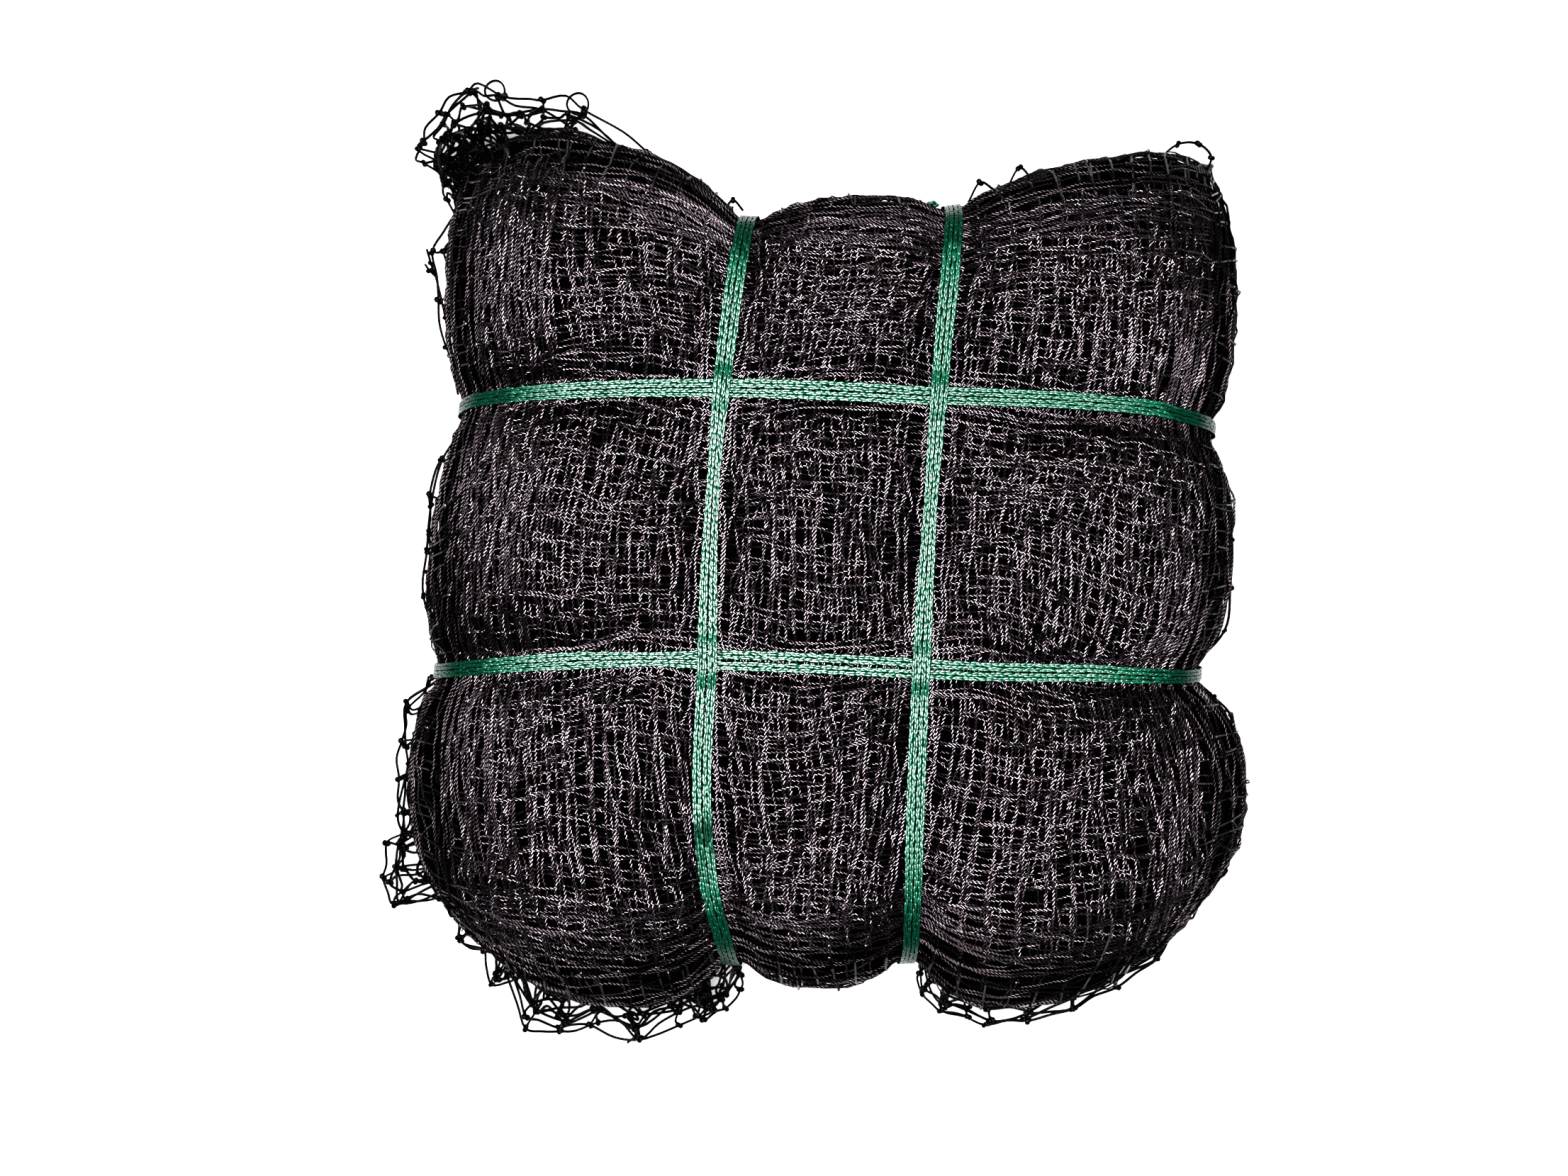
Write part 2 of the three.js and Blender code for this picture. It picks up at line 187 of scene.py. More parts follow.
# Loose meshes of the edge: height of the rim, the point they hang from, rows in from the rim with their
# distance in plan and their rise, layers, ruffle, and the rim's knots
LOOSE = [
    {"place": "top left ear", "z": 50, "hub": (-178, 222),
     "rows": 4, "step": 11, "rise": 6, "layers": 5, "ruffle": 4.0,
     "knots": [(-214, 221), (-234, 240), (-236, 255), (-226, 272), (-208, 283), (-187, 282), (-164, 280),
               (-138, 272), (-100, 248)]},
    {"place": "left edge", "z": 55, "hub": (-100, 150),
     "rows": 2, "step": 9, "rise": 8, "layers": 1, "ruffle": 1.5,
     "knots": [(-215, 210), (-228, 186), (-226, 158), (-221, 130), (-207, 102)]},
    {"place": "lower left tuft", "z": 48, "hub": (-190, -170),
     "rows": 3, "step": 13, "rise": 5, "layers": 3, "ruffle": 3.0,
     "knots": [(-240, -161), (-257, -169), (-261, -191), (-254, -207), (-226, -202)]},
    {"place": "lower left corner", "z": 46, "hub": (-150, -190),
     "rows": 3, "step": 9, "rise": 6, "layers": 2, "ruffle": 3.0,
     "knots": [(-218, -208), (-214, -226), (-200, -236), (-195, -256), (-179, -251)]},
    {"place": "bottom left", "z": 50, "hub": (-112, -120),
     "rows": 4, "step": 9, "rise": 5, "layers": 3, "ruffle": 3.0,
     "knots": [(-185, -249), (-173, -280), (-153, -284), (-130, -278), (-106, -286), (-81, -280),
               (-61, -271), (-67, -242)]},
    {"place": "bottom right", "z": 50, "hub": (115, -120),
     "rows": 3, "step": 7, "rise": 6, "layers": 2, "ruffle": 1.5,
     "knots": [(82, -244), (77, -269), (104, -280), (130, -277), (157, -268), (184, -257), (208, -240),
               (214, -218)]},
    {"place": "root of the ear", "z": 52, "hub": (-150, 215),
     "rows": 4, "step": 8, "rise": 5, "layers": 4, "ruffle": 2.5,
     "knots": [(-220, 256), (-225, 244), (-224, 232), (-221, 219), (-214, 207)]},
    {"place": "beside the left tie", "z": 50, "hub": (-62, -190),
     "rows": 3, "step": 9, "rise": 6, "layers": 3, "ruffle": 2.5,
     "knots": [(-80, -266), (-66, -275), (-53, -270), (-44, -258), (-45, -244)]},
    {"place": "beside the right tie", "z": 50, "hub": (100, -190),
     "rows": 3, "step": 8, "rise": 6, "layers": 2, "ruffle": 2.0,
     "knots": [(72, -237), (64, -247), (66, -261), (77, -271), (93, -273)]},
    {"place": "left of the lower lobe", "z": 56, "hub": (-150, -110),
     "rows": 3, "step": 8, "rise": 6, "layers": 2, "ruffle": 2.5,
     "knots": [(-229, -69), (-243, -88), (-248, -108), (-249, -130), (-245, -150), (-249, -168)]},
    {"place": "left of the middle lobe", "z": 58, "hub": (-120, 10),
     "rows": 2, "step": 8, "rise": 6, "layers": 1, "ruffle": 2.0,
     "knots": [(-223, 62), (-229, 40), (-231, 18), (-231, -6), (-230, -26), (-225, -46)]},
]
# Round loops on the ear's rim: number of the knot, radius, and the direction they stand in, in degrees
CURLS = [
    {"knot": 5, "radius": 6.0, "toward": 150},
    {"knot": 7, "radius": 6.5, "toward": 130},
]
CURL_STEPS = 28
CURL_TWIST = 0.15
# Single lines that stand off the sides: height and points, with a knot at each inner point
STRAYS = [
    {"place": "hair end on the left", "z": 62, "points": [(-231, 187), (-228, 178), (-226, 171)]},
    {"place": "second hair end", "z": 62, "points": [(-232, 178), (-229, 174), (-226, 171)]},
    {"place": "left edge", "z": 62, "points": [(-226, 172), (-220, 146), (-217, 124), (-212, 100)]},
    {"place": "left middle", "z": 58,
     "points": [(-206, 84), (-222, 62), (-229, 34), (-232, 7), (-234, -20), (-222, -56)]},
    {"place": "lower left", "z": 58,
     "points": [(-230, -68), (-236, -92), (-243, -121), (-249, -151), (-244, -166)]},
    {"place": "right middle", "z": 58,
     "points": [(232, 66), (245, 46), (250, 14), (250, -15), (246, -41), (224, -64)]},
    {"place": "right notch", "z": 58,
     "points": [(228, -70), (241, -81), (250, -92), (249, -107), (253, -121), (246, -136)]},
    {"place": "top right corner", "z": 60,
     "points": [(204, 234), (208, 242), (217, 249), (230, 250), (238, 242), (232, 230)]},
    {"place": "top right edge", "z": 66, "points": [(92, 214), (99, 226), (107, 221)]},
    {"place": "top right edge again", "z": 66, "points": [(115, 222), (122, 234), (130, 227)]},
    {"place": "top middle", "z": 66, "points": [(-53, 209), (-48, 216), (-42, 209)]},
    {"place": "hair end at the bottom", "z": 40, "points": [(-107, -284), (-108, -288), (-113, -292)]},
]
STRAY_STEPS = 6
STRAY_SWAY = 2.0

# Flat knitted cord of the ties: size, distance off the net, and how the ties along the bale cross the others
CORD_WIDTH = 5.4
CORD_THICKNESS = 1.8
CORD_GAP = 0.65
CROSSING_LIFT = 2.2
CROSSING_REACH = 15.0
CROSSING_SLOPE = 8.0
# Least distance between the two turns of a tie
TURN_GAP = 0.2
# Section of the cord's inside, in widths across and thicknesses up
CORD_SECTION = np.array([[-0.5, 0.0], [-0.36, -0.5], [0.36, -0.5], [0.5, 0.0], [0.36, 0.22], [-0.36, 0.22]])
# Stitches: length, radius of a leg, its sides and flatness, and the range of its thickness
STITCH = 3.2
LEG = 0.62
LEG_SIDES = 6
LEG_FLAT = 0.15
LEG_RANGE = (0.75, 1.15)
# Places of the wales in widths; they sway a little from side to side
WALES = (-0.25, 0.25)
WALE_SWAY = 0.03
WALE_WAVE = 1.7
WALE_SHIFT = 9.0
# One leg of a stitch, in stitches along, widths aside, thicknesses up, and thickness
LEG_PATH = {
    "along": np.array([0.0, 0.5, 1.1, 1.7]),
    "spread": np.array([0.03, 0.09, 0.12, 0.10]),
    "height": np.array([0.22, 0.33, 0.33, 0.22]),
    "thick": np.array([0.6, 1.0, 1.0, 0.6]),
}
# How uneven the legs are: millimetres along, widths aside and thicknesses up
LEG_UNEVEN = {"along": 0.5, "spread": 0.035, "height": 0.04}
# Share of the bale's height below which the cord has no stitches
STITCH_LOW = 0.02
# Material slots of a turn: lit stitches, the inside in painted shade, and stitches that turn down, in
# painted shade
LIT = 0
INSIDE = 1
TURNED_SHADE = 2
# Upward share of the cord's facing below which its stitches take the darker copy, as painted shade, and how
# far that varies
TIE_LEVEL = 0.968
TIE_FADE = 0.012
# Ties: half the distance between the two turns at shares along each tie, and how far both lie aside there
TIES = [
    {"name": "tie_left", "at": U_LINES[1], "along_y": True,
     "half": [(0, 2.6), (0.2, 2.9), (0.41, 2.95), (0.52, 2.2), (0.60, 1.9), (0.68, 2.5), (0.8, 2.9),
              (1, 2.6)],
     "aside": [(0, -2), (0.08, -6), (0.16, -7), (0.26, -4), (0.36, 0), (1, 0)]},
    {"name": "tie_right", "at": U_LINES[2], "along_y": True,
     "half": [(0, 2.4), (0.2, 2.8), (0.45, 2.6), (0.565, 2.0), (0.68, 2.5), (0.85, 2.9), (1, 2.6)],
     "aside": [(0, 0), (1, 0)]},
    {"name": "tie_lower", "at": V_LINES[1], "along_y": False,
     "half": [(0, 2.2), (0.2, 2.6), (0.3, 2.1), (0.40, 3.2), (0.6, 3.3), (0.65, 2.95), (0.85, 2.6),
              (1, 2.0)],
     "aside": [(0, 0), (0.7, 0), (0.85, 2), (1, 0)]},
    {"name": "tie_upper", "at": V_LINES[2], "along_y": False,
     "half": [(0, 2.0), (0.2, 2.5), (0.5, 2.95), (0.6, 2.7), (0.8, 2.5), (1, 2.0)],
     "aside": [(0, 0), (0.6, 0), (0.78, 4), (0.92, 5), (1, 2)]},
]
# Step along a tie, its way over the top and down a side against the flat sizes, and passes that smooth it
TIE_STEP = 2.0
TOP_WAY = 1.1
SIDE_WAY = 1.2
TIE_PASSES = 3

# Knot on the right tie: distance beside it, height share of the side, distance off the side, radius of the
# knot and of its cord, length of the tail, and how far the tail's middle and tip lie out and up
KNOT = {
    "beside": 10.0, "height": 0.55, "off": 3.3, "radius": 2.2, "cord": 0.95,
    "tail": 11.0, "tail_middle": (0.2, -1.5), "tail_tip": (-0.3, -5.5),
}
KNOT_TURNS = 2
KNOT_WEAVE = 1.5
KNOT_STEPS = 96
KNOT_SIDES = 6
TAIL_STEPS = 8

# Colours of the twine and the plies below, and the share of fine fuzz in the twine's relief
BLACK = (0.0002, 0.0002, 0.0002, 1)
# Twine a shade lighter on the twist's ridges: painted highlight
RIDGE_PAINTED_HIGHLIGHT = (0.0022, 0.0016, 0.002, 1)
# Lines of the plies below a shade lighter than the black between them: painted highlight
PLIES_LINE_HIGHLIGHT = (0.0012, 0.001, 0.0012, 1)
FUZZ = 0.12
# Share of the single fibres in the cord's colour; broad patches have the rest
FIBRES = 0.7

# Camera: straight down on the bale, its axis a little left of and below the middle
CAMERA = (-0.0176, -0.0153, 1.102)
# White floor, a little below the net, with soft light overhead
FLOOR = 2.0
FLOOR_DROP = 0.0005
PAPER = (0.7, 0.7, 0.7, 1)
LIGHTS = [
    {"name": "key", "at": (-0.075, -0.01, 1.3), "size": 1.3, "power": 18.0},
    {"name": "lamp", "at": (-0.075, -0.01, 1.3), "size": 0.35, "power": 42.0},
]
# Strength of the surround over the upward share of a direction: bright near the floor, dark overhead
SURROUND = {"From Min": 0.1, "From Max": 0.26, "To Min": 0.9, "To Max": 0.03}


def grid_shares(p, lines):
    """Weights at p of a smooth curve through values given at the lines."""
    shares = []
    for i, at in enumerate(lines):
        share = np.ones_like(p)
        for j, other in enumerate(lines):
            if j != i:
                share = share * (p - other) / (at - other)
        shares.append(share)
    return shares


def lobe_at(p, lines, size):
    """Number of the lobe that holds p, and its height there: 0 beside the ties, 1 at the crest."""
    number = (p >= lines[1]).astype(int) + (p >= lines[2]).astype(int)
    start = lines[number] * size + TIE_BAND
    end = lines[number + 1] * size - TIE_BAND
    t = np.clip((p * size - start) / (end - start), 0, 1)
    return number, 1 - np.abs(2 * t - 1) ** LOBE_POWER


def fade(share):
    return (1 - np.clip(share, 0, 1)) ** 2


def plan(u, v):
    """Plan of the bale at shares u across and v along, with the swell of its lobes."""
    across, along = grid_shares(u, U_LINES), grid_shares(v, V_LINES)
    x, y = np.zeros_like(u), np.zeros_like(u)
    for j, i in np.ndindex(GRID.shape[:2]):
        x = x + across[i] * along[j] * GRID[j, i, 0]
        y = y + across[i] * along[j] * GRID[j, i, 1]
    row, row_height = lobe_at(v, V_LINES, LENGTH)
    column, column_height = lobe_at(u, U_LINES, WIDTH)
    x = x - SWELL["left"][row] * row_height * fade(u / U_LINES[1])
    x = x + SWELL["right"][row] * row_height * fade((1 - u) / (1 - U_LINES[2]))
    y = y - SWELL["bottom"][column] * column_height * fade(v / V_LINES[1])
    y = y + SWELL["top"][column] * column_height * fade((1 - v) / (1 - V_LINES[2]))
    return x, y


def edge_round(p, size):
    inward = np.clip(np.minimum(p, 1 - p) * size / EDGE_REACH, 0, 1)
    return np.sqrt(1 - (1 - inward) ** 2)


def groove_at(p, lines, size):
    off = np.minimum(np.abs(p - lines[1]), np.abs(p - lines[2])) * size
    return 1 - np.clip((off - TIE_BAND) / (UNDER_GROOVE_REACH - TIE_BAND), 0, 1)


def heights(u, v):
    """Height of the bale's top and of its underside."""
    row, row_height = lobe_at(v, V_LINES, LENGTH)
    column, column_height = lobe_at(u, U_LINES, WIDTH)
    round_u, round_v = edge_round(u, WIDTH), edge_round(v, LENGTH)
    fall = (EDGE_HEIGHT + (1 - EDGE_HEIGHT) * round_u) * (EDGE_HEIGHT + (1 - EDGE_HEIGHT) * round_v)
    groove = np.maximum(groove_at(u, U_LINES, WIDTH), groove_at(v, V_LINES, LENGTH))
    top = (TIE_HEIGHT + CRESTS[row, column] * row_height * column_height) * fall
    under = np.maximum(UNDER_GROOVE * groove, EDGE_RISE * (1 - np.minimum(round_u, round_v)))
    return top, under


def stack_point(u, v, w):
    """Point of the bale at shares u across, v along and w of its height."""
    inset = SHOULDER * (1 - np.sqrt(1 - SHOULDER_ROUND * (2 * w - 1) ** 2))
    u_in = u + inset / WIDTH * (fade(u / U_LINES[1]) - fade((1 - u) / (1 - U_LINES[2])))
    v_in = v + inset / LENGTH * (fade(v / V_LINES[1]) - fade((1 - v) / (1 - V_LINES[2])))
    x, y = plan(u_in, v_in)
    top, under = heights(u_in, v_in)
    return np.stack([x, y, under + (top - under) * w], -1)


def over_edge(a, b):
    """How far a place lies past the left or right edge, and past the bottom or top edge."""
    return np.maximum(-a, a - WIDTH), np.maximum(-b, b - LENGTH)


def skin_point(a, b):
    """Point of the skin a and b from its lower left corner; past an edge it goes down the side."""
    past = np.maximum(*over_edge(a, b))
    w = 1 - np.clip(past / WALL, 0, 1)
    return stack_point(np.clip(a / WIDTH, 0, 1), np.clip(b / LENGTH, 0, 1), w)


def under_point(a, b):
    return stack_point(np.clip(a / WIDTH, 0, 1), np.clip(b / LENGTH, 0, 1), np.zeros_like(a))


def unit(vectors):
    return vectors / np.maximum(np.linalg.norm(vectors, axis=-1, keepdims=True), TINY)


def normals(surface, a, b, step=1.5):
    """Upward directions of a surface, out from the middle in plan where it has none."""
    across = surface(a + step, b) - surface(a - step, b)
    along = surface(a, b + step) - surface(a, b - step)
    found = np.cross(across, along)
    size = np.linalg.norm(found, axis=-1, keepdims=True)
    outward = unit(surface(a, b) * np.array([1.0, 1.0, 0.0]))
    return np.where(size > NO_AREA, found / np.maximum(size, TINY), outward)


def tie_clear(a, b):
    """0 under the ties, 1 away from them."""
    clear = np.ones_like(a)
    for place, lines in ((a, U_LINES * WIDTH), (b, V_LINES * LENGTH)):
        for line in lines[1:3]:
            clear = clear * np.clip((np.abs(place - line) - TIE_BAND) / TIE_BAND, 0, 1)
    return clear


def ripple(rng, a, b, size):
    """Smooth noise of about unit height over places a, b, its waves about size long."""
    total = np.zeros_like(a)
    for _ in range(RIPPLE_WAVES):
        angle = rng.uniform(0, 2 * math.pi)
        wave = 2 * math.pi / (size * rng.uniform(*RIPPLE_RANGE))
        start = rng.uniform(0, 2 * math.pi)
        total = total + np.sin((a * math.cos(angle) + b * math.sin(angle)) * wave + start)
    return total * math.sqrt(2 / RIPPLE_WAVES)


def smooth(points, steps):
    """The curve through points, with steps samples from each to the next."""
    points = np.asarray(points, float)
    if steps < 2 or len(points) < 3:
        return points
    padded = np.vstack([2 * points[0] - points[1], points, 2 * points[-1] - points[-2]])
    t = (np.arange(steps) / steps)[None, :, None]
    p0, p1, p2, p3 = (padded[k:k + len(points) - 1, None, :] for k in range(4))
    curve = 0.5 * (2 * p1 + (p2 - p0) * t + (2 * p0 - 5 * p1 + 4 * p2 - p3) * t**2
                   + (3 * p1 - p0 - 3 * p2 + p3) * t**3)
    return np.vstack([curve.reshape(-1, points.shape[1]), points[-1:]])


def lengths(path):
    """Length along a path up to each of its points."""
    return np.concatenate([[0], np.cumsum(np.linalg.norm(np.diff(path, axis=0), axis=1))])


def ring_quads(rows, after, sides):
    """Quads from each of the rings numbered in rows to the ring after it."""
    k = np.arange(sides)
    k_next = (k + 1) % sides
    return np.stack([
        rows[:, None] * sides + k, rows[:, None] * sides + k_next,
        after[:, None] * sides + k_next, after[:, None] * sides + k,
    ], -1).reshape(-1, 4)


def end_caps(last, sides):
    """Quads that close a tube of 4 or 6 sides at its first ring and at the ring that starts at last."""
    first = [[0, 3, 2, 1]] if sides == 4 else [[0, 3, 2, 1], [0, 5, 4, 3]]
    return np.array(first + [[last + corner for corner in reversed(cap)] for cap in first])


def twist_uvs(path, sides, closed):
    """UV of a tube's quads: turns of the twist along it, and the share of the way round."""
    turns = lengths(path) / LAY
    if closed:
        turns = np.append(turns, round(STRANDS * turns[-1] * len(path) / (len(path) - 1)) / STRANDS)
    k = np.arange(sides)
    here, low = np.meshgrid(turns[:-1], k / sides, indexing="ij")
    there, high = np.meshgrid(turns[1:], (k + 1) / sides, indexing="ij")
    corners = [(here, low), (here, high), (there, high), (there, low)]
    return np.stack([np.stack(corner, -1) for corner in corners], 2).reshape(-1, 2)


class Tubes:
    """Collects tubes for one mesh, with the twist's length and turn as UV and a slot for each face."""

    def __init__(self):
        self.points, self.quads, self.uvs, self.smooth, self.slots = [], [], [], [], []
        self.count = 0

    def store(self, points, quads, uvs, smooth_faces, slots):
        self.points.append(points.reshape(-1, 3))
        self.quads.append(quads + self.count)
        self.uvs.append(uvs)
        self.smooth.append(np.full(len(quads), smooth_faces))
        self.slots.append(np.asarray(slots, np.int32))
        self.count += points.size // 3

    def add(self, path, radius, sides=4, closed=False, slots=None):
        """One tube along a path; slots numbers the material at each of its points."""
        path = np.asarray(path, float)
        n = len(path)
        if closed:
            ahead = np.roll(path, -1, 0) - np.roll(path, 1, 0)
        else:
            ahead = np.gradient(path, axis=0)
        ahead = unit(ahead)
        side_axis = np.eye(3)[np.argmin(np.abs(ahead).mean(0))]
        right = unit(np.cross(ahead, side_axis))
        up = np.cross(right, ahead)
        angle = 2 * math.pi * (np.arange(sides) + 0.5) / sides
        radius = np.broadcast_to(radius, (n,))[:, None, None]
        ring = np.cos(angle)[None, :, None] * right[:, None] + np.sin(angle)[None, :, None] * up[:, None]
        rows = np.arange(n if closed else n - 1)
        quads = ring_quads(rows, (rows + 1) % n, sides)
        uvs = twist_uvs(path, sides, closed)
        if not closed:
            caps = end_caps((n - 1) * sides, sides)
            quads = np.vstack([quads, caps])
            uvs = np.vstack([uvs, np.zeros((4 * len(caps), 2))])
        face_slots = np.zeros(len(quads), np.int32)
        if slots is not None:
            face_slots[:len(rows) * sides] = np.repeat(slots[rows], sides)
        self.store(path[:, None] + radius * ring, quads, uvs, sides > 4, face_slots)

    def band(self, points, slot):
        """One closed band from points of ring and side, all in one slot."""
        rows = np.arange(len(points))
        quads = ring_quads(rows, np.roll(rows, -1), points.shape[1])[:, ::-1]
        self.store(points, quads, np.zeros((4 * len(quads), 2)), True, np.full(len(quads), slot))

    def rings(self, points, turned, slots):
        """Many short open tubes at once from points of tube, ring and side, with a slot for each tube."""
        tubes, rings, sides = points.shape[:3]
        rows = np.arange(rings - 1)
        one = np.vstack([ring_quads(rows, rows + 1, sides), end_caps((rings - 1) * sides, sides)])
        if turned:
            one = one[:, ::-1]
        starts = np.arange(tubes)[:, None, None] * rings * sides
        quads = (one[None] + starts).reshape(-1, 4)
        self.store(points, quads, np.zeros((4 * len(quads), 2)), True, np.repeat(slots, len(one)))

    def lump(self, centre, direction, size):
        """A small knot: a short tube, thin at its ends."""
        along = LUMP_ALONG[:, None] * np.asarray(direction) * size * LUMP_LENGTH
        self.add(np.asarray(centre) + along, size * LUMP_THICK, LUMP_SIDES)

    def mesh(self, name):
        points, quads, uvs = np.vstack(self.points), np.vstack(self.quads), np.vstack(self.uvs)
        made = grid_mesh(name, points, quads, uvs, np.concatenate(self.smooth))
        made.polygons.foreach_set("material_index", np.concatenate(self.slots))
        return made


def grid_mesh(name, points, quads, uvs=None, smooth_faces=True):
    mesh = bpy.data.meshes.new(name)
    mesh.vertices.add(len(points))
    mesh.vertices.foreach_set("co", (np.asarray(points) * MM).astype(np.float32).ravel())
    mesh.loops.add(4 * len(quads))
    mesh.loops.foreach_set("vertex_index", np.asarray(quads, np.int32).ravel())
    mesh.polygons.add(len(quads))
    mesh.polygons.foreach_set("loop_start", np.arange(0, 4 * len(quads), 4, dtype=np.int32))
    mesh.polygons.foreach_set("use_smooth", np.broadcast_to(smooth_faces, len(quads)))
    if uvs is not None:
        mesh.uv_layers.new(name="UVMap").data.foreach_set("uv", np.asarray(uvs, np.float32).ravel())
    mesh.update(calc_edges=True)
    return mesh


def piece(name, mesh, slot, *materials):
    made = bpy.data.objects.new(name, mesh)
    bpy.context.scene.collection.objects.link(made)
    for material in materials:
        mesh.materials.append(material)
    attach(made, "root")
    return made


def net_piece(name, tubes, *materials):
    return piece(name, tubes.mesh(name), "net_twine", *materials)


class Shader:
    """A material with a few node helpers."""

    def __init__(self, name):
        self.material = bpy.data.materials.new(name)
        self.material.use_nodes = True
        self.tree = self.material.node_tree
        self.shader = self.tree.nodes["Principled BSDF"]

    def connect(self, socket, value):
        """Links another node's socket to this one, or sets a constant on it."""
        if isinstance(value, bpy.types.NodeSocket):
            self.tree.links.new(value, socket)
        else:
            socket.default_value = value

    def node(self, kind, inputs=None, **settings):
        made = self.tree.nodes.new(kind)
        for key, value in settings.items():
            setattr(made, key, value)
        for key, value in (inputs or {}).items():
            self.connect(made.inputs[key], value)
        return made

    def math(self, operation, first, second=0.0):
        return self.node("ShaderNodeMath", {0: first, 1: second}, operation=operation).outputs[0]

    def mix(self, share, first, second):
        made = self.node("ShaderNodeMix", {"Factor": share}, data_type="RGBA")
        for key, value in (("A", first), ("B", second)):
            socket = next(s for s in made.inputs if s.name == key and s.type == "RGBA")
            self.connect(socket, value)
        return next(s for s in made.outputs if s.type == "RGBA")

    def set(self, **values):
        for key, value in values.items():
            self.connect(self.shader.inputs[key.replace("_", " ")], value)


def twine_material(name, gloss, index, relief):
    """Black twisted twine: helices over the tube's length and turn, glossy on their ridges, which are
    painted a shade lighter as painted highlight; the grooves, without gloss, stay black as painted shade.
    """
    made = Shader(name)
    uv = made.node("ShaderNodeUVMap", uv_map="UVMap").outputs[0]
    parts = made.node("ShaderNodeSeparateXYZ", {0: uv}).outputs
    along = made.math("ADD", parts[0], parts[1])
    ridge = made.math("ABSOLUTE", made.math("COSINE", made.math("MULTIPLY", along, STRANDS * math.pi)))
    # Gloss only on the ridges, none in the grooves, so the grooves stay black as painted shade
    shine = made.node(
        "ShaderNodeMapRange",
        {"Value": ridge, "From Min": 0.35, "From Max": 0.75, "To Max": gloss},
    )
    noise = made.node("ShaderNodeTexNoise", {"Scale": 900.0, "Detail": 2.0})
    # Base colour a shade lighter on the ridges: painted highlight
    made.set(
        Base_Color=made.mix(ridge, BLACK, RIDGE_PAINTED_HIGHLIGHT),
        Roughness=0.24,
        IOR=index,
        Specular_IOR_Level=shine.outputs[0],
        Specular_Tint=(1.0, 0.84, 0.94, 1),
    )
    height = made.math("ADD", ridge, made.math("MULTIPLY", noise.outputs[0], FUZZ))
    bump = made.node("ShaderNodeBump", {"Strength": 1.0, "Distance": relief, "Height": height})
    made.set(Normal=bump.outputs[0])
    return made.material


def core_material():
    """The plies further down: black and without gloss, as painted shade of the deep plies, with the lines of
    more net as a fine relief painted a shade lighter, as painted highlight.
    """
    made = Shader("black_plies_painted_shade")
    place = made.node("ShaderNodeTexCoord").outputs["Object"]
    lines = []
    for direction, scale in (("X", 62.0), ("Y", 58.0)):
        wave = made.node(
            "ShaderNodeTexWave",
            {"Vector": place, "Scale": scale, "Distortion": 3.0, "Detail": 2.0, "Detail Scale": 1.5},
            bands_direction=direction,
        )
        lines.append(wave.outputs[1])
    height = made.math("MAXIMUM", lines[0], lines[1])
    # Lighter on the lines, black between, with no gloss: painted highlight on the lines and painted shade of
    # the deep plies
    made.set(
        Base_Color=made.mix(height, BLACK, PLIES_LINE_HIGHLIGHT),
        Roughness=0.9,
        Specular_IOR_Level=0.0,
    )
    bump = made.node("ShaderNodeBump", {"Strength": 0.8, "Distance": 0.0012, "Height": height})
    made.set(Normal=bump.outputs[0])
    return made.material


def cord_material(name, deep, bright, gloss):
    """Green knitted cord: fine fibres along each stitch, paler where they stand up."""
    made = Shader(name)
    place = made.node("ShaderNodeTexCoord").outputs["Object"]
    fibre = made.node("ShaderNodeTexNoise", {"Vector": place, "Scale": 1400.0, "Detail": 3.0}).outputs[0]
    patch = made.node("ShaderNodeTexNoise", {"Vector": place, "Scale": 55.0, "Detail": 2.0}).outputs[0]
    share = made.math("ADD", made.math("MULTIPLY", fibre, FIBRES), made.math("MULTIPLY", patch, 1 - FIBRES))
    made.set(
        Base_Color=made.mix(share, deep, bright),
        Roughness=0.3,
        IOR=1.5,
        Specular_IOR_Level=gloss,
    )
    bump = made.node("ShaderNodeBump", {"Strength": 0.3, "Distance": 0.0002, "Height": fibre})
    made.set(Normal=bump.outputs[0])
    return made.material


def bale_core():
    """The closed body of all the plies below the ones that show, as a smooth skin."""
    rows = CORE_ROWS
    share = np.linspace(0, 1, rows + 1)
    a, b = np.meshgrid(share * WIDTH, share * LENGTH)
    top = skin_point(a, b) - CORE_DEPTH * normals(skin_point, a, b)
    low = under_point(a, b) + CORE_UNDER * normals(under_point, a, b)
    # The edge, once round from the lower left corner
    steps, first, last = np.arange(rows), np.zeros(rows, int), np.full(rows, rows)
    edge_i = np.concatenate([steps, last, rows - steps, first])
    edge_j = np.concatenate([first, steps, last, rows - steps])
    edge_a, edge_b = share[edge_i] * WIDTH, share[edge_j] * LENGTH
    out_a = np.where(edge_i == 0, -1.0, np.where(edge_i == rows, 1.0, 0.0))
    out_b = np.where(edge_j == 0, -1.0, np.where(edge_j == rows, 1.0, 0.0))
    points = [top.reshape(-1, 3), low.reshape(-1, 3)]
    for down in np.linspace(0, WALL, CORE_SIDE_STEPS + 1)[1:-1]:
        wall_a, wall_b = edge_a + out_a * down, edge_b + out_b * down
        points.append(skin_point(wall_a, wall_b) - CORE_SIDE * normals(skin_point, wall_a, wall_b))
    count = (rows + 1) ** 2
    i, j = np.meshgrid(steps, steps)
    base = (j * (rows + 1) + i).ravel()
    faces = np.stack([base, base + 1, base + rows + 2, base + rows + 1], 1)
    quads = [faces, count + faces[:, [0, 3, 2, 1]]]
    edge = edge_j * (rows + 1) + edge_i
    walls = [2 * count + k * len(edge) + np.arange(len(edge)) for k in range(CORE_SIDE_STEPS - 1)]
    rings = [edge, *walls, count + edge]
    for upper, lower in zip(rings[:-1], rings[1:]):
        quads.append(np.stack([upper, lower, np.roll(lower, -1), np.roll(upper, -1)], 1))
    return grid_mesh("net_core", np.vstack(points), np.vstack(quads))


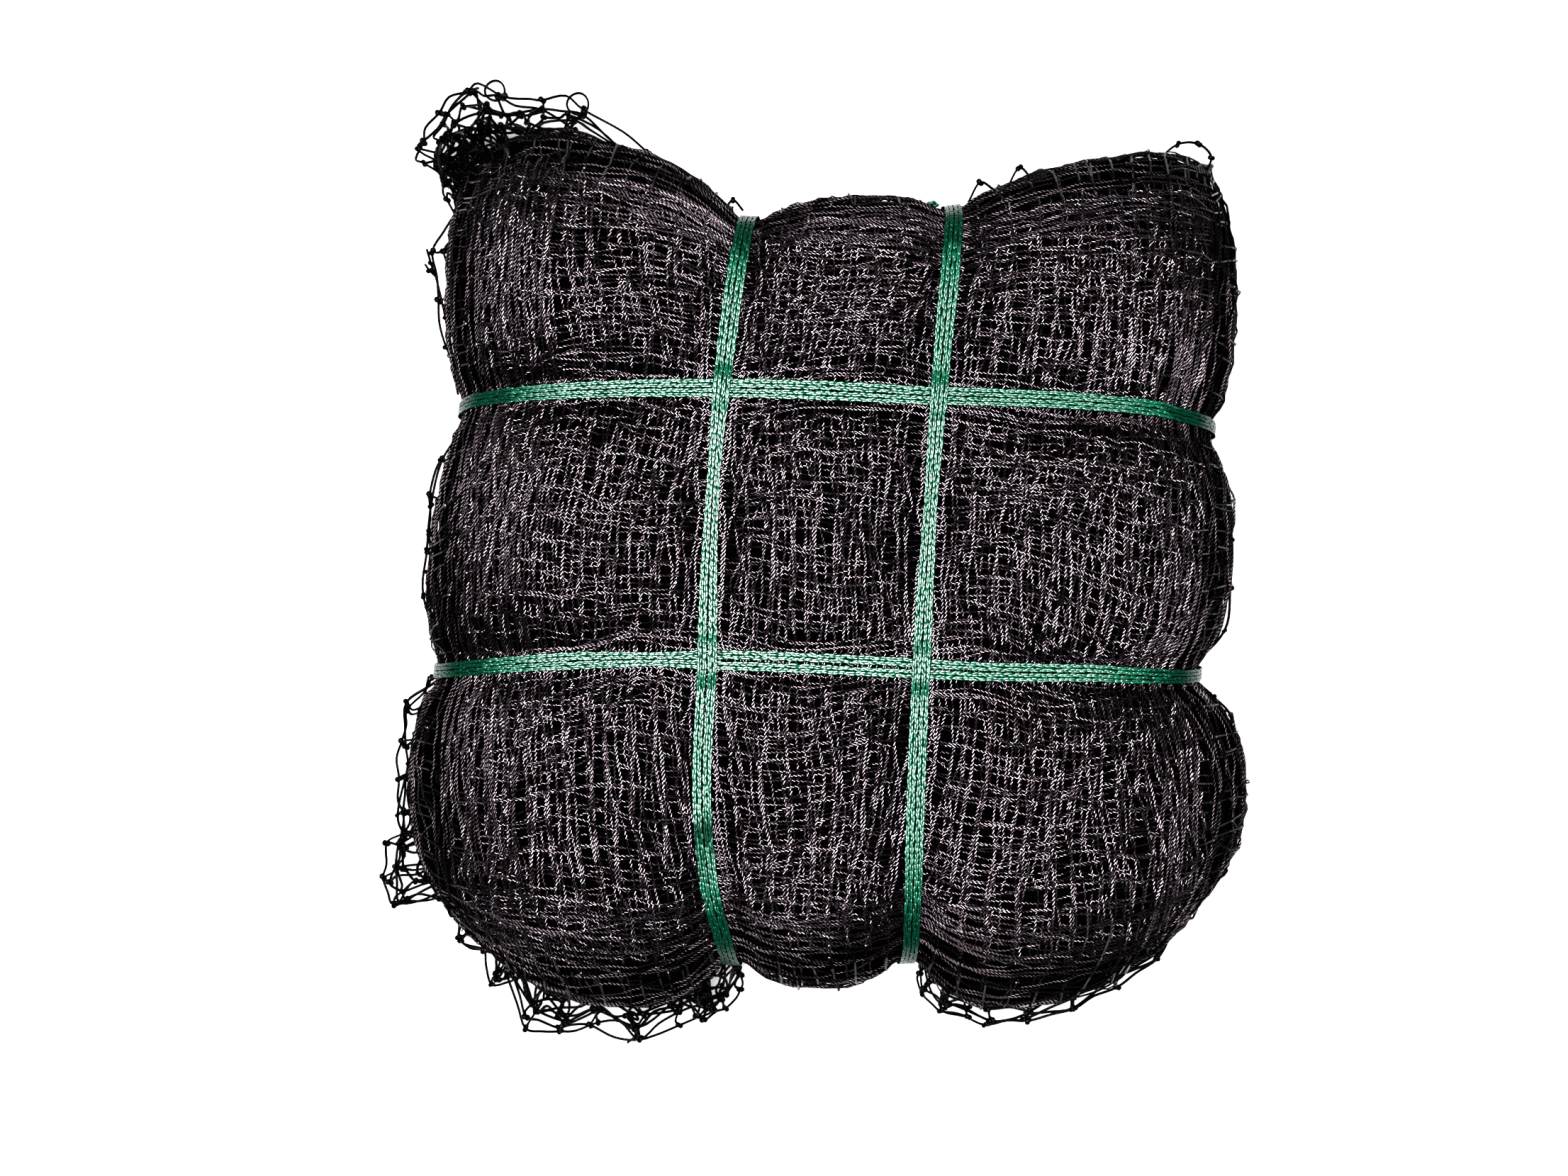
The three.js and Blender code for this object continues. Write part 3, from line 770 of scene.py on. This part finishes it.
def bar_line(rng, nodes, slack, steps):
    """A line of twine through its knots, each bar bowed a little to one side."""
    bars = np.diff(nodes, axis=0)
    side = unit(np.stack([-bars[:, 1], bars[:, 0]], 1))
    bow = side * rng.normal(0, slack, len(bars))[:, None]
    places = np.empty((3 * len(bars) + 1, 2))
    places[0::3] = nodes
    places[1::3] = nodes[:-1] + bars / 3 + bow
    places[2::3] = nodes[:-1] + 2 * bars / 3 + bow
    return smooth(places, steps)


def runs(keep):
    """Start and end of each stretch of True."""
    marks = np.flatnonzero(np.diff(np.concatenate([[0], keep.astype(int), [0]])))
    return [(s, e) for s, e in zip(marks[0::2], marks[1::2]) if e - s > 1]


def past_shade_line(a, b):
    """How far a place lies past the line near an edge from which the twine takes a darker copy, as painted
    shade.
    """
    left, right = SIDE_START["left"] - a, a - WIDTH + SIDE_START["right"]
    bottom, top = SIDE_START["bottom"] - b, b - LENGTH + SIDE_START["top"]
    return np.maximum(np.maximum(left, right), np.maximum(bottom, top))


def knot_direction(rng, tilt=0.0):
    angle = rng.uniform(0, math.pi)
    return math.cos(angle), math.sin(angle), tilt


def ply_knots(rng, row, reach):
    """Places of a ply's knots, a little turned and drawn out of true, and which of them it reaches."""
    count = int((max(WIDTH, LENGTH) + 2 * reach) / BAR / 2) + SPARE_LINES
    steps = np.arange(-count, count + 1)
    shift_a, shift_b = row["shift"]
    a, b = np.meshgrid((steps + shift_a / SHIFTS) * BAR, (steps + shift_b / SHIFTS) * BAR, indexing="ij")
    turn = math.radians(rng.normal(0, PLY_TURN))
    a, b = a * math.cos(turn) - b * math.sin(turn), a * math.sin(turn) + b * math.cos(turn)
    a, b = a + WIDTH / 2, b + LENGTH / 2
    common = np.random.default_rng(SEED)
    drawn_a = WARP * ripple(common, a, b, WARP_WAVE)
    drawn_b = WARP * ripple(common, a, b, WARP_WAVE)
    a = a + drawn_a + PLY_WARP * ripple(rng, a, b, PLY_WARP_WAVE) + rng.normal(0, row["jitter"], a.shape)
    b = b + drawn_b + PLY_WARP * ripple(rng, a, b, PLY_WARP_WAVE) + rng.normal(0, row["jitter"], b.shape)
    past_a, past_b = over_edge(a, b)
    past_both = np.clip(past_a, 0, None) + np.clip(past_b, 0, None)
    corner_held = (past_both < max(reach, CORNER_GATHER)) | (past_a < 0) | (past_b < 0)
    return a, b, (past_a < reach) & (past_b < reach) & corner_held


def net_ply(tubes, rng, surface, depth, row, reach, knots):
    """One ply of the net laid over a surface: lines of twine both ways, and its knots."""
    a, b, keep = ply_knots(rng, row, reach)
    broad, fine = rng.integers(RIPPLE_SEEDS), rng.integers(RIPPLE_SEEDS)

    def place(spots):
        pa, pb = spots[:, 0], spots[:, 1]
        wave = PLY_RIPPLE * ripple(np.random.default_rng(broad), pa, pb, PLY_RIPPLE_WAVE)
        wave = wave + row["wave"] * ripple(np.random.default_rng(fine), pa, pb, LINE_WAVE)
        out = tie_clear(pa, pb) * (wave + PLY_RIPPLE) - depth
        points = surface(pa, pb) + normals(surface, pa, pb) * out[:, None]
        points[:, 2] = np.maximum(points[:, 2], TWINE)
        return points

    for lines, weight in (((a, b, keep), ALONG_WEIGHT), ((a.T, b.T, keep.T), 1 / ALONG_WEIGHT)):
        for line_a, line_b, held in zip(*lines):
            for start, end in runs(held):
                nodes = np.stack([line_a[start:end], line_b[start:end]], 1)
                spots = bar_line(rng, nodes, row["slack"], LINE_STEPS)
                # Lines near and over an edge get the darker copies of the twine: painted shade
                near = past_shade_line(*spots.T) > rng.normal(0, SIDE_SPREAD)
                past = np.maximum(*over_edge(*spots.T))
                turning = (past > TURN_START) & (past < TURN_END)
                slots = np.where(turning, OVER_EDGE, np.where(near, NEAR_EDGE, ON_TOP))
                tubes.add(place(spots), row["twine"] * weight, slots=slots)
    if knots:
        spots = np.stack([a[keep], b[keep]], 1)
        on_top = np.maximum(*over_edge(*spots.T)) < 0
        for spot, top in zip(place(spots), on_top):
            direction = knot_direction(rng)
            if top or rng.random() < SIDE_KNOTS:
                tubes.lump(spot, direction, PLY_KNOT * rng.uniform(*PLY_KNOT_RANGE))


def fold_lines(tubes, rng):
    """Lines of twine along the four sides, from a little inside the edge down to the floor."""
    for side, inside in enumerate(FOLD_START):
        size = WIDTH if side % 2 else LENGTH
        for past in np.arange(inside, WALL - FOLD_STEP, FOLD_STEP):
            start = rng.uniform(-FOLD_PAST, FOLD_SHORT)
            end = size + rng.uniform(-FOLD_SHORT, FOLD_PAST)
            along = np.arange(start, end, FOLD_POINT_STEP)
            beyond = past + FOLD_SWAY * ripple(rng, along, 0 * along, FOLD_SWAY_WAVE)
            a, b = [
                (-beyond, along), (along, -beyond), (WIDTH + beyond, along), (along, LENGTH + beyond),
            ][side]
            off = rng.uniform(0, FOLD_OFF) + FOLD_RIPPLE * ripple(rng, a, b, FOLD_RIPPLE_WAVE)
            out = tie_clear(a, b) * off - TWINE
            points = skin_point(a, b) + normals(skin_point, a, b) * out[:, None]
            points[:, 2] = np.maximum(points[:, 2], TWINE)
            tubes.add(points, TWINE)


def bowed(rng, nodes, slack):
    """A line through knots in space, its bars bowed to one side and up or down."""
    bars = np.diff(nodes, axis=0)
    middles = nodes[:-1] + bars / 2 + rng.normal(0, slack, bars.shape)
    places = np.empty((2 * len(bars) + 1, 3))
    places[0::2] = nodes
    places[1::2] = middles
    return smooth(places, LOOSE_STEPS)


def loose_meshes(tubes, rng, row):
    """Loose meshes that hang from the edge: rows of knots in from the rim, with lines both ways."""
    knots = np.array(row["knots"], float)
    inward = unit(np.array(row["hub"], float) - knots)
    sway = RIM_SWAY * np.sin(SWAY_TURN * np.arange(len(knots)))
    for layer in range(row["layers"]):
        grid = []
        for depth in range(row["rows"]):
            spots = knots + inward * (depth + LAYER_SHIFT * layer) * row["step"]
            height = row["z"] + sway + depth * row["rise"] + layer * rng.normal(0, row["rise"], len(knots))
            spots = np.column_stack([spots, height])
            if layer or depth:
                spots = spots + rng.normal(0, row["ruffle"], spots.shape)
            spots[:, 2] = np.clip(spots[:, 2], LOOSE_LOW, LOOSE_HIGH)
            grid.append(spots)
        grid = np.array(grid)
        for line in [*grid, *grid.transpose(1, 0, 2)]:
            tubes.add(bowed(rng, line, BOW_SHARE * row["ruffle"]), LOOSE_TWINE)
        for spot in grid[:KNOTTED_ROWS].reshape(-1, 3):
            direction = knot_direction(rng, KNOT_TILT)
            tubes.lump(spot, direction, LOOSE_KNOT * rng.uniform(*LOOSE_KNOT_RANGE))


def rim_curl(tubes, row):
    """A round loop of twine that stands on a knot of the ear's rim."""
    ear = LOOSE[0]
    toward = math.radians(row["toward"])
    turn = np.linspace(0, 2 * math.pi, CURL_STEPS, endpoint=False)
    spot = np.array([*ear["knots"][row["knot"]], ear["z"]], float)
    middle = spot + row["radius"] * np.array([math.cos(toward), math.sin(toward), 0])
    ring = np.stack([np.cos(turn), np.sin(turn), CURL_TWIST * np.sin(2 * turn)], 1)
    tubes.add(middle + row["radius"] * ring, LOOSE_TWINE, closed=True)


def stray_line(tubes, rng, row):
    """A single line of twine with a knot at each inner point."""
    points = np.column_stack([np.array(row["points"], float), np.full(len(row["points"]), row["z"])])
    points[:, 2] += rng.normal(0, STRAY_SWAY, len(points))
    tubes.add(smooth(points, STRAY_STEPS), LOOSE_TWINE)
    for spot in points[1:-1]:
        direction = knot_direction(rng, KNOT_TILT)
        tubes.lump(spot, direction, LOOSE_KNOT * rng.uniform(*STRAY_KNOT_RANGE))


def tie_course(tie):
    """Shares along the tie and heights round the bale, starting in the middle of the underside."""
    size = LENGTH if tie["along_y"] else WIDTH
    top = np.linspace(0, 1, int(size * TOP_WAY / TIE_STEP))
    down = np.linspace(1, 0, int(WALL * SIDE_WAY / TIE_STEP))[1:-1]
    s = np.concatenate([top, np.ones_like(down), top[::-1], np.zeros_like(down)])
    w = np.concatenate([np.ones_like(top), down, np.zeros_like(top), down[::-1]])
    start = len(top) + len(down) + len(top) // 2
    return np.roll(s, -start), np.roll(w, -start)


def tie_frames(tie, sign):
    """Centres, sideways and outward directions, widths and height shares along one turn of a tie."""
    s, w = tie_course(tie)
    size = LENGTH if tie["along_y"] else WIDTH
    lines = V_LINES if tie["along_y"] else U_LINES
    half = np.interp(s, *np.array(tie["half"]).T)
    aside = np.interp(s, *np.array(tie["aside"]).T)

    def place(beside):
        at = np.full_like(s, tie["at"]) + (beside + aside) / (WIDTH if tie["along_y"] else LENGTH)
        return stack_point(at, s, w) if tie["along_y"] else stack_point(s, at, w)

    centre = place(0.0)
    for _ in range(TIE_PASSES):
        centre = (np.roll(centre, 1, 0) + 2 * centre + np.roll(centre, -1, 0)) / 4
    ahead = unit(np.roll(centre, -1, 0) - np.roll(centre, 1, 0))
    beside = place(1.0) - place(-1.0)
    beside = unit(beside - ahead * (beside * ahead).sum(1, keepdims=True))
    out = np.cross(ahead, beside) * (-1 if tie["along_y"] else 1)
    lift = np.zeros_like(s)
    if tie["along_y"]:
        off = np.minimum(np.abs(s - lines[1]), np.abs(s - lines[2])) * size
        lift = CROSSING_LIFT * np.clip((CROSSING_REACH - off) / CROSSING_SLOPE, 0, 1)
    rise = CORD_GAP + CORD_THICKNESS / 2 + lift
    return {
        "centre": centre + beside * (sign * half)[:, None] + out * rise[:, None],
        "beside": beside,
        "out": out,
        "width": np.minimum(CORD_WIDTH, 2 * half - TURN_GAP),
        "height": w,
    }


def cord_flat(tubes, tie, frames):
    """The flat inside of a turn of cord, in a near-black green without gloss: painted shade between the
    stitches.
    """
    across, up = CORD_SECTION[:, 0], CORD_SECTION[:, 1] * CORD_THICKNESS
    if not tie["along_y"]:
        across = -across
    sideways = frames["width"][:, None] * across
    points = frames["centre"][:, None] + frames["beside"][:, None] * sideways[..., None]
    tubes.band(points + frames["out"][:, None] * up[:, None], INSIDE)


def cord_legs(tubes, rng, tie, frames):
    """Wales of knitted stitches on the outer face of a turn of cord, each stitch with two legs."""
    length = lengths(frames["centre"])

    def at(place, name):
        columns = frames[name].T
        return np.stack([np.interp(place, length, column) for column in columns], -1)[:, :, None]

    starts = np.arange(0, length[-1] - 2 * STITCH, STITCH)
    starts = starts[np.interp(starts, length, frames["height"]) > STITCH_LOW]
    angle = 2 * math.pi * np.arange(LEG_SIDES) / LEG_SIDES
    for wale in WALES:
        for hand in (-1, 1):
            first = starts + rng.uniform(0, STITCH) + rng.normal(0, LEG_UNEVEN["along"], len(starts))
            spot = first[:, None] + LEG_PATH["along"] * STITCH
            wide = np.interp(spot, length, frames["width"])
            spread = LEG_PATH["spread"] + rng.normal(0, LEG_UNEVEN["spread"], spot.shape)
            thick = LEG * LEG_PATH["thick"] * wide / CORD_WIDTH * rng.uniform(*LEG_RANGE, (len(starts), 1))
            sway = WALE_SWAY * np.sin(spot / WALE_WAVE + WALE_SHIFT * wale)
            sideways = (wale + hand * spread + sway) * wide
            sideways = sideways[..., None] + thick[..., None] * np.cos(angle)
            rise = LEG_PATH["height"] + rng.normal(0, LEG_UNEVEN["height"], spot.shape)
            up = (rise * CORD_THICKNESS)[..., None] + LEG_FLAT * thick[..., None] * np.sin(angle)
            points = at(spot, "centre") + at(spot, "beside") * sideways[..., None]
            points = points + at(spot, "out") * up[..., None]
            # Stitches facing away from straight up take the darker copy: painted shade
            facing_up = np.interp(first, length, frames["out"][:, 2]) + rng.normal(0, TIE_FADE, len(first))
            tubes.rings(points, tie["along_y"], np.where(facing_up < TIE_LEVEL, TURNED_SHADE, LIT))


def cord_turn(rng, tie, sign, name):
    """One turn of knitted cord: a flat inside with stitches on its outer face."""
    frames = tie_frames(tie, sign)
    tubes = Tubes()
    cord_flat(tubes, tie, frames)
    cord_legs(tubes, rng, tie, frames)
    return tubes.mesh(name)


def tie_knot():
    """An overhand turn of the cord with one tail laid against the side."""
    seat_u = np.array([U_LINES[2] - KNOT["beside"] / WIDTH])
    seat = stack_point(seat_u, np.array([1.0]), np.array([KNOT["height"]]))[0]
    seat = seat + np.array([0, KNOT["off"], 0])
    turn = np.linspace(0, 2 * KNOT_TURNS * math.pi, KNOT_STEPS, endpoint=False)
    weave = KNOT_WEAVE * turn
    swing = KNOT["radius"] * (2 + np.cos(weave)) / 2
    out = -KNOT["radius"] * np.sin(weave) / 2
    path = np.stack([swing * np.cos(turn), out, swing * np.sin(turn)], 1)
    tubes = Tubes()
    tubes.add(seat + path, KNOT["cord"], KNOT_SIDES, closed=True)
    tail = np.array([
        [-KNOT["radius"], 0, 0],
        [-KNOT["tail"] / 2, *KNOT["tail_middle"]],
        [-KNOT["tail"], *KNOT["tail_tip"]],
    ])
    tubes.add(seat + smooth(tail, TAIL_STEPS), KNOT["cord"], KNOT_SIDES)
    return tubes.mesh("cord_knot")


# Camera
camera = bpy.data.objects.new("camera", bpy.data.cameras.new("camera"))
camera.data.lens = 40.0
camera.data.sensor_width = 36.0
camera.data.clip_start = 0.01
camera.location = CAMERA
bpy.context.scene.collection.objects.link(camera)
bpy.context.scene.camera = camera

# Materials
twine = twine_material("black_twine", gloss=1.0, index=1.8, relief=0.00025)
# Darker copies of the same twine, with less gloss and a lower index: painted shade on the lines near and
# over the edges, on the sides and on the loose meshes
twine_side_shade = twine_material("black_twine_side_shade", gloss=0.8, index=1.55, relief=0.0004)
twine_edge_shade = twine_material("black_twine_edge_shade", gloss=0.5, index=1.15, relief=0.0003)
ply_twines = (twine, twine_side_shade, twine_edge_shade)
plies_below = core_material()
cord_green = cord_material(
    "green_cord", deep=(0.0002, 0.018, 0.009, 1), bright=(0.001, 0.1, 0.054, 1), gloss=0.62)
# Darker green copy of the cord, with little gloss, for stitches that face away from straight up: painted
# shade
cord_side_shade = cord_material(
    "green_cord_side_shade", deep=(0.0001, 0.009, 0.005, 1), bright=(0.0005, 0.04, 0.022, 1), gloss=0.16)
# Near-black green without gloss for the cord's inside: painted shade
cord_inside_shade = cord_material(
    "green_cord_inside_shade", deep=(0.0001, 0.004, 0.002, 1), bright=(0.0004, 0.014, 0.008, 1), gloss=0.0)

# Net
core = piece("net_core", bale_core(), "net_twine", plies_below)
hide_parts("net")

rng = np.random.default_rng(SEED)
for number, row in enumerate(PLIES):
    tubes = Tubes()
    full = number < FULL_PLIES
    net_ply(tubes, rng, skin_point, TWINE + number * PLY_STEP, row, WALL if full else TURN_DOWN, full)
    net_piece(f"net_ply_{number + 1}", tubes, *ply_twines)

tubes = Tubes()
for number, row in enumerate(UNDER_PLIES):
    net_ply(tubes, rng, under_point, -TWINE - number * PLY_STEP, row, -UNDER_INSET, False)
net_piece("net_under", tubes, *ply_twines)

tubes = Tubes()
fold_lines(tubes, rng)
# The side lines take the darker copy of the twine: painted shade
net_piece("net_sides", tubes, twine_side_shade)

tubes = Tubes()
for row in LOOSE:
    loose_meshes(tubes, rng, row)
for row in CURLS:
    rim_curl(tubes, row)
for row in STRAYS:
    stray_line(tubes, rng, row)
# The loose meshes take the darkest copy of the twine: painted shade
net_piece("net_loose_edge", tubes, twine_edge_shade)

# Ties and knot
for tie in TIES:
    for letter, sign in (("a", -1), ("b", 1)):
        name = f"{tie['name']}_{letter}"
        mesh = cord_turn(rng, tie, sign, name)
        turn = piece(f"cord_{name}", mesh, "tie_cord", cord_green, cord_inside_shade, cord_side_shade)
        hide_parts(name)

knot = piece("cord_knot", tie_knot(), "tie_cord", cord_green)
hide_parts("knot")

# Floor
corners = np.array([[-1, -1, 0], [1, -1, 0], [1, 1, 0], [-1, 1, 0]]) * FLOOR / MM / 2
floor_mesh = grid_mesh("floor", corners, [[0, 1, 2, 3]])
floor = bpy.data.objects.new("floor", floor_mesh)
floor.location.z = -FLOOR_DROP
bpy.context.scene.collection.objects.link(floor)
paper = Shader("white_paper")
paper.set(Base_Color=PAPER, Roughness=1.0, Specular_IOR_Level=0.0)
floor_mesh.materials.append(paper.material)

# Light
for row in LIGHTS:
    light = bpy.data.objects.new(row["name"], bpy.data.lights.new(row["name"], "AREA"))
    light.data.size = row["size"]
    light.data.energy = row["power"]
    light.location = row["at"]
    light.rotation_euler = (-Vector(row["at"])).to_track_quat("-Z", "Y").to_euler()
    bpy.context.scene.collection.objects.link(light)

world = bpy.data.worlds.new("world")
bpy.context.scene.world = world
world.use_nodes = True
nodes, links = world.node_tree.nodes, world.node_tree.links
direction = nodes.new("ShaderNodeSeparateXYZ")
links.new(nodes.new("ShaderNodeTexCoord").outputs["Generated"], direction.inputs[0])
sky = nodes.new("ShaderNodeMapRange")
links.new(direction.outputs["Z"], sky.inputs["Value"])
for key, value in SURROUND.items():
    sky.inputs[key].default_value = value
nodes["Background"].inputs["Color"].default_value = (1, 1, 1, 1)
links.new(sky.outputs[0], nodes["Background"].inputs["Strength"])
bpy.context.scene.view_settings.view_transform = "Standard"
bpy.context.scene.view_settings.look = "High Contrast"
